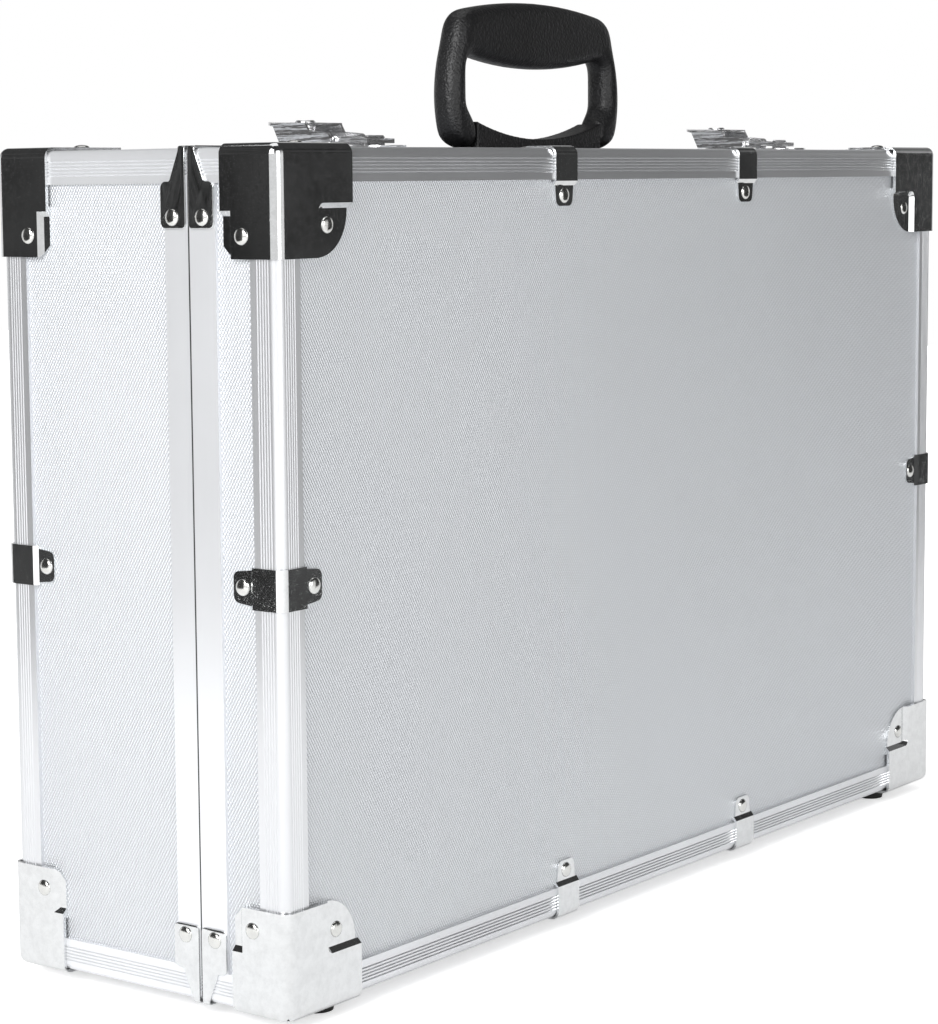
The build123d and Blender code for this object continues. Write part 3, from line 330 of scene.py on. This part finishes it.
def grain_material(name, colour, size):
    """Black moulded plastic with a leather grain."""
    material, tree, shader = new_material(name)
    place = object_place(tree)
    cells = tree.nodes.new("ShaderNodeTexVoronoi")
    cells.feature = "SMOOTH_F1"
    cells.inputs["Scale"].default_value = 1.0 / size
    tree.links.new(place, cells.inputs["Vector"])
    pores = noise(tree, place, 0.6 / size, 4.0)
    height = math_node(tree, "ADD", cells.outputs["Distance"], pores)
    wear = noise(tree, place, 30.0, 4.0)
    tree.links.new(ramp(tree, wear, colour, shade(colour, 1.8), 0.35, 0.75), shader.inputs["Base Color"])
    tree.links.new(span(tree, pores, 0.36, 0.56), shader.inputs["Roughness"])
    bump(tree, shader, height, 0.00035, 0.8)
    return material


def plain_material(name, colour, rough, metal=0.0, scale=180.0, depth=0.0001):
    """Moulded or painted finish with a fine mottle in colour, gloss and relief."""
    material, tree, shader = new_material(name)
    place = object_place(tree)
    mottle = noise(tree, place, scale, 4.0)
    cloud = noise(tree, place, 14.0, 3.0)
    tone = ramp(tree, cloud, shade(colour, 0.85), shade(colour, 1.15), 0.3, 0.7)
    tree.links.new(tone, shader.inputs["Base Color"])
    tree.links.new(span(tree, mottle, rough - 0.06, rough + 0.08), shader.inputs["Roughness"])
    shader.inputs["Metallic"].default_value = metal
    bump(tree, shader, mottle, depth, 0.5)
    return material


def ease_edges(width, *names):
    """Small rounds on the edges of pressed pieces, so that they catch the light."""
    for name in names:
        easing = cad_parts[name].modifiers.new("Ease", "BEVEL")
        easing.width = width
        easing.segments = 3
        easing.limit_method = "ANGLE"
        easing.angle_limit = math.radians(40)
        easing.harden_normals = True


def dress(material, *names):
    """Give CAD nodes one material."""
    for name in names:
        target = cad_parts[name].data
        target.materials.clear()
        target.materials.append(material)


def clear_selection():
    """Leave nothing selected, as a fresh operator needs."""
    if bpy.context.object and bpy.context.object.mode != "OBJECT":
        bpy.ops.object.mode_set(mode="OBJECT")
    bpy.ops.object.select_all(action="DESELECT")


def settle(piece):
    """Move a finished piece's place into its mesh."""
    clear_selection()
    piece.select_set(True)
    bpy.context.view_layer.objects.active = piece
    bpy.ops.object.transform_apply(location=True, rotation=True, scale=True)


def own_copy(piece):
    """Copy of a piece with a mesh of its own."""
    copy = piece.copy()
    copy.data = piece.data.copy()
    bpy.context.scene.collection.objects.link(copy)
    return copy


def node_copy(source, name):
    """Copy of a CAD node as a loose object, active and alone in the selection."""
    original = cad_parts[source]
    copy = own_copy(original)
    copy.name = name
    copy.animation_data_clear()
    copy.parent = None
    copy.matrix_world = original.matrix_world.copy()
    settle(copy)
    return copy


def join(pieces):
    """Join pieces into the first of them."""
    clear_selection()
    for piece in pieces:
        piece.select_set(True)
    bpy.context.view_layer.objects.active = pieces[0]
    bpy.ops.object.join()


def face_outward():
    """Turn all faces of the active mesh outward."""
    bpy.ops.object.mode_set(mode="EDIT")
    bpy.ops.mesh.select_all(action="SELECT")
    bpy.ops.mesh.normals_make_consistent(inside=False)
    bpy.ops.object.mode_set(mode="OBJECT")


def round_edges(piece, width, segments, angle=30.0):
    """Round the active piece's edges that are sharper than an angle in degrees."""
    soft = piece.modifiers.new("Edge", "BEVEL")
    soft.width = width
    soft.segments = segments
    soft.limit_method = "ANGLE"
    soft.angle_limit = math.radians(angle)
    bpy.ops.object.modifier_apply(modifier=soft.name)


class CASE_OT_finishes(bpy.types.Operator):
    """Put the finishes on the modelled frame of the case"""

    bl_idname = "case.finishes"
    bl_label = "Dress frame"

    def execute(self, context):
        finish = context.scene.case_finish
        long_edging = aluminium_material("edging_long", finish.aluminium, 0, 0.85)
        # Painted shade: the uprights take the edging colour made darker by 0.94, a shaded copy of the long
        # edging's colour
        upright_edging_shaded = aluminium_material("edging_upright_painted_shade", shade(finish.aluminium, 0.94), 2, 0.8)
        rim_edging = aluminium_material("edging_rim", finish.aluminium, 2, 0.5)
        deep_edging = aluminium_material("edging_deep", finish.aluminium, 1, 0.5)
        for half in ("lid", "base"):
            dress(long_edging, f"{half}_frame_top", f"{half}_frame_bottom", f"{half}_rim_long")
            dress(upright_edging_shaded, f"{half}_frame_left", f"{half}_frame_right")
            dress(rim_edging, f"{half}_rim_short")
            dress(deep_edging, f"{half}_side_angles")
        face = laminate_material("laminate_face", finish.laminate, finish, 0, 2)
        end = laminate_material("laminate_end", finish.laminate, finish, 1, 2)
        deck = laminate_material("laminate_deck", finish.laminate, finish, 0, 1)
        dress(face, "lid_face_panel", "base_back_panel")
        dress(end, "lid_left_panel", "lid_right_panel", "base_left_panel", "base_right_panel")
        dress(deck, "lid_top_panel", "lid_bottom_panel", "base_top_panel", "base_bottom_panel")
        plating = plated_material("bright_plating", finish.plating)
        for half in ("lid", "base"):
            dress(plating, f"{half}_corners", f"{half}_edge_clips", f"{half}_rim_clips")
            ease_edges(0.00055, f"{half}_corners")
            ease_edges(0.0003, f"{half}_edge_clips")
        chrome = chrome_material("latch_chrome", (0.93, 0.93, 0.94))
        dress(chrome, "latch_bases", "latch_catches", "lever_pins")
        for side in ("left", "right"):
            dress(chrome, f"lever_{side}", f"bail_{side}", f"lock_{side}")
            ease_edges(0.0004, f"lever_{side}", f"bail_{side}")
        steel = plain_material("rivet_steel", (0.62, 0.63, 0.65), 0.26, 1.0)
        dress(steel, "lid_rivets", "base_rivets", "handle_pins", "hinge_pins")
        dress(steel, "hinge_base_leaves", "hinge_lid_leaves")
        rubber = plain_material("foot_rubber", (0.012, 0.012, 0.012), 0.7)
        dress(rubber, "lid_feet", "base_feet")
        board = plain_material("tray_board", (0.03, 0.03, 0.033), 0.6)
        dress(board, "tray_frame", "tray_dividers")
        dress(plain_material("circuit_board", (0.02, 0.13, 0.06), 0.4), "contact_board")
        moulded = plain_material("moulded_black", (0.02, 0.02, 0.02), 0.35)
        dress(moulded, "contact_blocks", "mains_inlet", "power_rocker")
        paint = plain_material("powder_coat", (0.08, 0.08, 0.085), 0.5, 0.0, 900.0, 0.0002)
        dress(paint, "power_unit", "control_panel")
        dress(plain_material("lamp_lens", (0.05, 0.45, 0.14), 0.15), "status_lamps")
        return {"FINISHED"}


class CASE_OT_rivets(bpy.types.Operator):
    """Model the smooth domed rivets of both halves"""

    bl_idname = "case.rivets"
    bl_label = "Rivets"

    def execute(self, context):
        steel = plated_material("rivet_bright", (0.72, 0.72, 0.70), 0.12)
        pattern = domed_head()
        for half, body in (("lid", "lid"), ("base", "case")):
            heads = []
            for place in rivet_places(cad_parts[f"{half}_rivets"]):
                head = own_copy(pattern)
                head.matrix_world = place
                heads.append(head)
            if not heads:
                raise RuntimeError(f"no rivet heads found in {half}_rivets")
            join(heads)
            first = heads[0]
            settle(first)
            first.name = f"{half}_domed_rivets"
            first.data.materials.append(steel)
            bpy.ops.object.shade_smooth_by_angle(angle=math.radians(40))
            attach(first, body)
            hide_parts(f"{half}_rivets")
        bpy.data.objects.remove(pattern)
        return {"FINISHED"}


def rivet_places(source):
    """Places of the separate rivet heads of one node; each has its seat at its origin and Z outward."""
    mesh = source.data
    parent = list(range(len(mesh.vertices)))

    def root(item):
        while parent[item] != item:
            parent[item] = parent[parent[item]]
            item = parent[item]
        return item

    keyed = {}
    for vertex in mesh.vertices:
        key = tuple(round(value * 1e6) for value in vertex.co)
        parent[vertex.index] = root(keyed.setdefault(key, vertex.index))
    for edge in mesh.edges:
        parent[root(edge.vertices[0])] = root(edge.vertices[1])
    groups = {}
    for vertex in mesh.vertices:
        groups.setdefault(root(vertex.index), []).append(source.matrix_world @ vertex.co)
    return [head_place(points) for points in groups.values()]


def head_place(points):
    """Seat and outward direction of one head, from its wide base and its narrow crown."""
    low = Vector([min(point[axis] for point in points) for axis in range(3)])
    high = Vector([max(point[axis] for point in points) for axis in range(3)])
    size = high - low
    axis = min(range(3), key=lambda item: size[item])
    spread = []
    for level in (low[axis], high[axis]):
        ring = [point for point in points if abs(point[axis] - level) < SAME_LEVEL]
        centre = (low + high) / 2
        centre[axis] = level
        spread.append((max((point - centre).length for point in ring), centre))
    (_, seat), (_, top) = sorted(spread, key=lambda item: -item[0])
    turn = (top - seat).to_track_quat("Z", "Y")
    return Matrix.Translation(seat) @ turn.to_matrix().to_4x4()


def domed_head():
    """One rivet head with its seat at the origin: half a sphere flattened to a shallow dome."""
    clear_selection()
    bpy.ops.mesh.primitive_uv_sphere_add(segments=24, ring_count=12, radius=RIVET_RADIUS)
    head = bpy.context.object
    bpy.ops.object.mode_set(mode="EDIT")
    bpy.ops.mesh.select_all(action="SELECT")
    bpy.ops.mesh.bisect(plane_co=(0, 0, 0), plane_no=(0, 0, 1), clear_inner=True, use_fill=True)
    bpy.ops.object.mode_set(mode="OBJECT")
    for vertex in head.data.vertices:
        lift = vertex.co.z / RIVET_RADIUS
        vertex.co.z = RIVET_HEIGHT * lift ** 0.9 if lift > 0 else 0.0
    return head


class CASE_OT_rim_clips(bpy.types.Operator):
    """Model the pressed clips over the rim ends with their round shoulders"""

    bl_idname = "case.rim_clips"
    bl_label = "Rim clips"

    def execute(self, context):
        plating = bpy.data.materials["bright_plating"]
        pattern = pressed_clip()
        for half, body, toward in (("lid", "lid", -1), ("base", "case", 1)):
            low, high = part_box(f"{half}_rim_clips")
            near = low.y if toward > 0 else high.y
            clips = []
            for end, level in ((-1, -1), (-1, 1), (1, -1), (1, 1)):
                clip = own_copy(pattern)
                clip.scale = (-end, toward, level)
                clip.location = (high.x if end > 0 else low.x, near, high.z if level > 0 else low.z)
                settle(clip)
                clips.append(clip)
            join(clips)
            clips[0].name = f"{half}_pressed_clips"
            face_outward()
            bpy.ops.object.shade_smooth_by_angle(angle=math.radians(40))
            clips[0].data.materials.append(plating)
            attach(clips[0], body)
            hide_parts(f"{half}_rim_clips")
        bpy.data.objects.remove(pattern)
        return {"FINISHED"}


def rounded_outline(corners):
    """Points round a closed outline of (across, along, radius) corners, all of them rounded."""
    points = []
    for index, (across, along, radius) in enumerate(corners):
        here = Vector((across, along))
        before = (Vector(corners[index - 1][:2]) - here).normalized()
        after = (Vector(corners[(index + 1) % len(corners)][:2]) - here).normalized()
        half_turn = before.angle(after) / 2
        reach = radius / math.tan(half_turn)
        middle = here + (before + after).normalized() * (radius / math.sin(half_turn))
        start, stop = here + before * reach - middle, here + after * reach - middle
        for step in range(ROUND_STEPS + 1):
            blend = start.lerp(stop, step / ROUND_STEPS)
            points.append(middle + blend.normalized() * radius)
    return points


def pressed_clip():
    """One clip at the origin: its outer bend on the Y axis, its plate down -Z and its strap along +X."""
    strap_end = 0.016 + (CLIP_BEND * math.pi / 2 - CLIP_BEND)
    neck, shoulder, foot = -0.002, -0.0142, -0.033
    slant_end, width = 0.0085, 0.0134
    outline = rounded_outline((
        (0, strap_end, 0.0005), (CLIP_STRIP, strap_end, 0.0005), (CLIP_STRIP, neck, 0.004),
        (slant_end, shoulder, 0.0012), (width, shoulder, 0.0027), (width, foot, 0.0024), (0, foot, 0.0018),
    ))
    clear_selection()
    bpy.ops.mesh.primitive_circle_add(vertices=len(outline), radius=1, fill_type="NGON")
    clip = bpy.context.object
    for vertex, point in zip(clip.data.vertices, outline):
        vertex.co = (0, point.x, point.y)
    fold_strap(clip)
    face_outward()
    plate = min(clip.data.polygons, key=lambda face: face.center.z)
    thick = clip.modifiers.new("Wall", "SOLIDIFY")
    thick.thickness = CLIP_WALL
    thick.offset = -1.0 if plate.normal.x < 0 else 1.0
    bpy.ops.object.modifier_apply(modifier=thick.name)
    round_edges(clip, 0.00025, 2, 60)
    return clip


def fold_strap(clip):
    """Fold the strap of a flat clip from +Z over to +X, round a bend of CLIP_BEND."""
    quarter = CLIP_BEND * math.pi / 2
    bpy.ops.object.mode_set(mode="EDIT")
    for step in range(ROUND_STEPS + 1):
        bpy.ops.mesh.select_all(action="SELECT")
        level = -CLIP_BEND + quarter * step / ROUND_STEPS
        bpy.ops.mesh.bisect(plane_co=(0, 0, level), plane_no=(0, 0, 1))
    bpy.ops.object.mode_set(mode="OBJECT")
    for vertex in clip.data.vertices:
        past = vertex.co.z + CLIP_BEND
        if past <= 0:
            continue
        angle = min(past / CLIP_BEND, math.pi / 2)
        straight = max(0.0, past - quarter)
        vertex.co.x = CLIP_BEND * (1 - math.cos(angle)) + straight
        vertex.co.z = -CLIP_BEND + CLIP_BEND * math.sin(angle)


class CASE_OT_latches(bpy.types.Operator):
    """Model the latch levers as deep pressings with a rolled finger end, and their locks at that height"""

    bl_idname = "case.latches"
    bl_label = "Latches"

    def execute(self, context):
        for side in ("left", "right"):
            lever = raised_copy(f"lever_{side}", f"lever_pressing_{side}", LATCH_LIFT)
            join([lever, rolled_end(f"lever_{side}")])
            lock = raised_copy(f"lock_{side}", f"lock_barrel_{side}")
            for piece, source in ((lever, f"lever_{side}"), (lock, f"lock_{side}")):
                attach(piece, source)
                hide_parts(source)
        return {"FINISHED"}


def raised_copy(source, name, depth=math.inf):
    """Copy of a latch piece with what lies within a depth of its top, or all of it, LATCH_LIFT higher."""
    copy = node_copy(source, name)
    for modifier in list(copy.modifiers):
        bpy.ops.object.modifier_apply(modifier=modifier.name)
    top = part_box(source)[1].z
    for vertex in copy.data.vertices:
        if vertex.co.z > top - depth - SAME_LEVEL:
            vertex.co.z += LATCH_LIFT
    return copy


def rolled_end(source):
    """Roll under the finger end of one lever."""
    low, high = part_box(source)
    width = (high.x - low.x) * 0.78
    from_end, below_top = 0.0062, 0.0018
    clear_selection()
    bpy.ops.mesh.primitive_cylinder_add(
        vertices=32, radius=ROLL_RADIUS, depth=width, rotation=(0, math.pi / 2, 0),
        location=((low.x + high.x) / 2, high.y - from_end, high.z + LATCH_LIFT - below_top - ROLL_RADIUS))
    roll = bpy.context.object
    settle(roll)
    round_edges(roll, 0.0005, 3)
    bpy.ops.object.shade_smooth_by_angle(angle=math.radians(40))
    return roll


class CASE_OT_handle(bpy.types.Operator):
    """Model the handle and its bracket as smooth mouldings"""

    bl_idname = "case.handle"
    bl_label = "Handle"

    def execute(self, context):
        finish = context.scene.case_finish
        black = grain_material("handle_grain", finish.handle_black, finish.grain_size)
        for source, body, name, voxel, rounds in (
            ("handle", "handle", "handle_moulding", 0.0007, 55),
            ("handle_bracket", "case", "bracket_moulding", 0.0005, 8),
        ):
            moulding = soft_copy(source, name, voxel, rounds)
            moulding.data.materials.clear()
            moulding.data.materials.append(black)
            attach(moulding, body)
            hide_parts(source)
        return {"FINISHED"}


def soft_copy(source, name, voxel, rounds):
    """Copy of a CAD node with all its edges worn round, by voxels of one size and rounds of smoothing."""
    copy = node_copy(source, name)
    remesh = copy.modifiers.new("Voxels", "REMESH")
    remesh.mode = "VOXEL"
    remesh.voxel_size = voxel
    bpy.ops.object.modifier_apply(modifier=remesh.name)
    soften = copy.modifiers.new("Soften", "SMOOTH")
    soften.factor = 0.8
    soften.iterations = rounds
    bpy.ops.object.modifier_apply(modifier=soften.name)
    bpy.ops.object.shade_smooth()
    return copy


class CASE_OT_lid_foam(bpy.types.Operator):
    """Model the soft foam pad in the lid"""

    bl_idname = "case.lid_foam"
    bl_label = "Lid foam"

    def execute(self, context):
        low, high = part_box("lid_foam")
        clear_selection()
        bpy.ops.mesh.primitive_cube_add(size=1, location=(low + high) / 2)
        pad = context.object
        pad.name = "lid_foam_pad"
        pad.scale = high - low
        settle(pad)
        bpy.ops.object.mode_set(mode="EDIT")
        bpy.ops.mesh.select_all(action="SELECT")
        bpy.ops.mesh.subdivide(number_cuts=24)
        bpy.ops.object.mode_set(mode="OBJECT")
        sink_rows(pad, low, high)
        round_edges(pad, 0.004, 3)
        bpy.ops.object.shade_smooth_by_angle(angle=math.radians(50))
        foam = plain_material("open_foam", (0.045, 0.045, 0.05), 0.92, 0.0, 1400.0, 0.0006)
        pad.data.materials.append(foam)
        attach(pad, "lid")
        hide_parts("lid_foam")
        return {"FINISHED"}


def sink_rows(pad, low, high):
    """Sink soft rows into the foam's open face, both ways, as convoluted foam has."""
    for vertex in pad.data.vertices:
        if vertex.co.y < high.y - SAME_LEVEL:
            continue
        x = (vertex.co.x - low.x) / FOAM_WAVE
        z = (vertex.co.z - low.z) / FOAM_WAVE
        vertex.co.y -= FOAM_DEPTH * (0.5 - 0.25 * math.cos(math.tau * x) - 0.25 * math.cos(math.tau * z))


class CASE_OT_stage(bpy.types.Operator):
    """Build the floor, the lamps and the camera"""

    bl_idname = "case.stage"
    bl_label = "Studio"

    def execute(self, context):
        studio = context.scene.case_studio
        build_floor(studio)
        build_world(studio)
        black_flag("front_flag", (0.70, -0.50, 0.54), (0.70, 0.0, 0.54), 1.25, 1.0)
        black_flag("end_flag", (-0.80, 0.46, 0.52), (-0.28, -0.01, 0.52), 0.72, 1.0)
        soft_lamp("key_lamp", (-2.2, -0.35, 1.3), (-0.2, 0, 0.2), 1.3, studio.key_power)
        soft_lamp("fill_lamp", (-0.8, -2.4, 0.8), (-0.1, 0, 0.05), 1.4, studio.fill_power)
        soft_lamp("top_lamp", (0.2, 0.4, 2.4), (0, 0, 0.2), 1.8, studio.top_power)
        build_camera(context)
        context.scene.view_settings.view_transform = "Standard"
        return {"FINISHED"}


def build_floor(studio):
    """Pale floor, white to the camera far from the case, that keeps the shadow beside it."""
    clear_selection()
    bpy.ops.mesh.primitive_plane_add(size=studio.floor_size, location=(0, 0, 0))
    floor = bpy.context.object
    floor.name = "studio_floor"
    material, tree, shader = new_material("studio_floor")
    shader.inputs["Base Color"].default_value = (0.92, 0.92, 0.92, 1)
    shader.inputs["Roughness"].default_value = 0.95
    shader.inputs["Specular IOR Level"].default_value = 0.0
    axes = axes_of(tree, object_place(tree))
    across = math_node(tree, "MULTIPLY", axes[0], axes[0])
    along = math_node(tree, "MULTIPLY", axes[1], axes[1])
    distance = math_node(tree, "SQRT", math_node(tree, "ADD", across, along))
    rays = tree.nodes.new("ShaderNodeLightPath")
    near, far, white = 0.3, 1.1, 1.3
    fade = span(tree, distance, studio.floor_glow, white, near, far)
    seen = math_node(tree, "MULTIPLY", rays.outputs["Is Camera Ray"], fade)
    mirrored = math_node(tree, "MULTIPLY", rays.outputs["Is Glossy Ray"], studio.floor_mirror)
    glow = tree.nodes.new("ShaderNodeEmission")
    glow.inputs["Color"].default_value = (1, 1, 1, 1)
    tree.links.new(math_node(tree, "MAXIMUM", seen, mirrored), glow.inputs["Strength"])
    both = tree.nodes.new("ShaderNodeAddShader")
    tree.links.new(shader.outputs[0], both.inputs[0])
    tree.links.new(glow.outputs[0], both.inputs[1])
    tree.links.new(both.outputs[0], tree.nodes["Material Output"].inputs["Surface"])
    floor.data.materials.append(material)


def build_world(studio):
    """White surround for the camera; in reflections dark overhead, and dimmer as light."""
    world = bpy.data.worlds.new("studio_world")
    bpy.context.scene.world = world
    world.use_nodes = True
    tree = world.node_tree
    back = tree.nodes["Background"]
    rays = tree.nodes.new("ShaderNodeLightPath")
    clear = math_node(tree, "MAXIMUM", rays.outputs["Is Camera Ray"], rays.outputs["Is Transmission Ray"])
    axes = axes_of(tree, object_place(tree))
    horizon, overhead, dark = 0.12, 0.5, 0.05
    surround = span(tree, axes[2], studio.mirror_level, dark, horizon, overhead)
    mirrored = math_node(tree, "MULTIPLY", rays.outputs["Is Glossy Ray"], surround)
    soft = math_node(tree, "MULTIPLY", rays.outputs["Is Diffuse Ray"], studio.ambient)
    level = math_node(tree, "MAXIMUM", clear, math_node(tree, "MAXIMUM", mirrored, soft))
    tree.links.new(level, back.inputs["Strength"])
    back.inputs["Color"].default_value = (1, 1, 1, 1)


def black_flag(name, place, target, width, height):
    """Dark panel aimed at a point, that only reflections see."""
    clear_selection()
    bpy.ops.mesh.primitive_plane_add(size=1, location=place)
    flag = bpy.context.object
    flag.name = name
    flag.scale = (width, height, 1)
    flag.rotation_euler = (Vector(target) - Vector(place)).to_track_quat("Z", "Y").to_euler()
    material, tree, shader = new_material(name)
    cloud = noise(tree, object_place(tree), 6.0, 5.0, 0.7)
    tone = ramp(tree, cloud, (0.015, 0.015, 0.015), (0.13, 0.13, 0.13), 0.38, 0.75)
    tree.links.new(tone, shader.inputs["Emission Color"])
    shader.inputs["Emission Strength"].default_value = 1.0
    shader.inputs["Base Color"].default_value = (0, 0, 0, 1)
    shader.inputs["Roughness"].default_value = 1.0
    shader.inputs["Specular IOR Level"].default_value = 0.0
    flag.data.materials.append(material)
    flag.visible_camera = False
    flag.visible_diffuse = False
    flag.visible_shadow = False
    flag.visible_transmission = False


def soft_lamp(name, place, target, size, power):
    """Square soft box aimed at a point."""
    data = bpy.data.lights.new(name, "AREA")
    data.energy = power
    data.size = size
    lamp = bpy.data.objects.new(name, data)
    bpy.context.scene.collection.objects.link(lamp)
    lamp.location = place
    lamp.rotation_euler = (Vector(target) - Vector(place)).to_track_quat("-Z", "Y").to_euler()


def build_camera(context):
    """Camera at the photograph's viewpoint."""
    yaw = math.radians(CAMERA_YAW)
    pitch = math.radians(CAMERA_PITCH)
    roll = math.radians(CAMERA_ROLL)
    ahead = Vector((math.sin(yaw) * math.cos(pitch), math.cos(yaw) * math.cos(pitch), -math.sin(pitch)))
    right = Vector((math.cos(yaw), -math.sin(yaw), 0))
    up = right.cross(ahead)
    turned_right = right * math.cos(roll) + up * math.sin(roll)
    turned_up = up * math.cos(roll) - right * math.sin(roll)
    data = bpy.data.cameras.new("studio_camera")
    data.lens = CAMERA_LENS
    data.sensor_width = CAMERA_SENSOR
    data.shift_x, data.shift_y = CAMERA_SHIFT
    camera = bpy.data.objects.new("studio_camera", data)
    context.scene.collection.objects.link(camera)
    turn = Matrix((turned_right, turned_up, -ahead)).transposed().to_4x4()
    camera.matrix_world = Matrix.Translation(CAMERA_PLACE) @ turn
    context.scene.camera = camera


class CASE_PT_panel(bpy.types.Panel):
    """Sidebar panel of the charging case"""

    bl_idname = "CASE_PT_panel"
    bl_label = "Charging case"
    bl_space_type = "VIEW_3D"
    bl_region_type = "UI"
    bl_category = "Charging case"

    def draw(self, context):
        layout = self.layout
        for settings in (context.scene.case_finish, context.scene.case_studio):
            for key in settings.__annotations__:
                layout.prop(settings, key)
        for operator in OPERATORS:
            layout.operator(operator.bl_idname)


OPERATORS = (
    CASE_OT_finishes, CASE_OT_rivets, CASE_OT_rim_clips, CASE_OT_latches,
    CASE_OT_handle, CASE_OT_lid_foam, CASE_OT_stage,
)
CLASSES = (CaseFinish, StudioSettings, *OPERATORS, CASE_PT_panel)


def register():
    for item in CLASSES:
        bpy.utils.register_class(item)
    bpy.types.Scene.case_finish = bpy.props.PointerProperty(type=CaseFinish)
    bpy.types.Scene.case_studio = bpy.props.PointerProperty(type=StudioSettings)


def unregister():
    del bpy.types.Scene.case_studio
    del bpy.types.Scene.case_finish
    for item in reversed(CLASSES):
        bpy.utils.unregister_class(item)


def main():
    """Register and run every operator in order."""
    register()
    bpy.ops.case.finishes()
    bpy.ops.case.rivets()
    bpy.ops.case.rim_clips()
    bpy.ops.case.latches()
    bpy.ops.case.handle()
    bpy.ops.case.lid_foam()
    bpy.ops.case.stage()


if __name__ == "__main__":
    main()
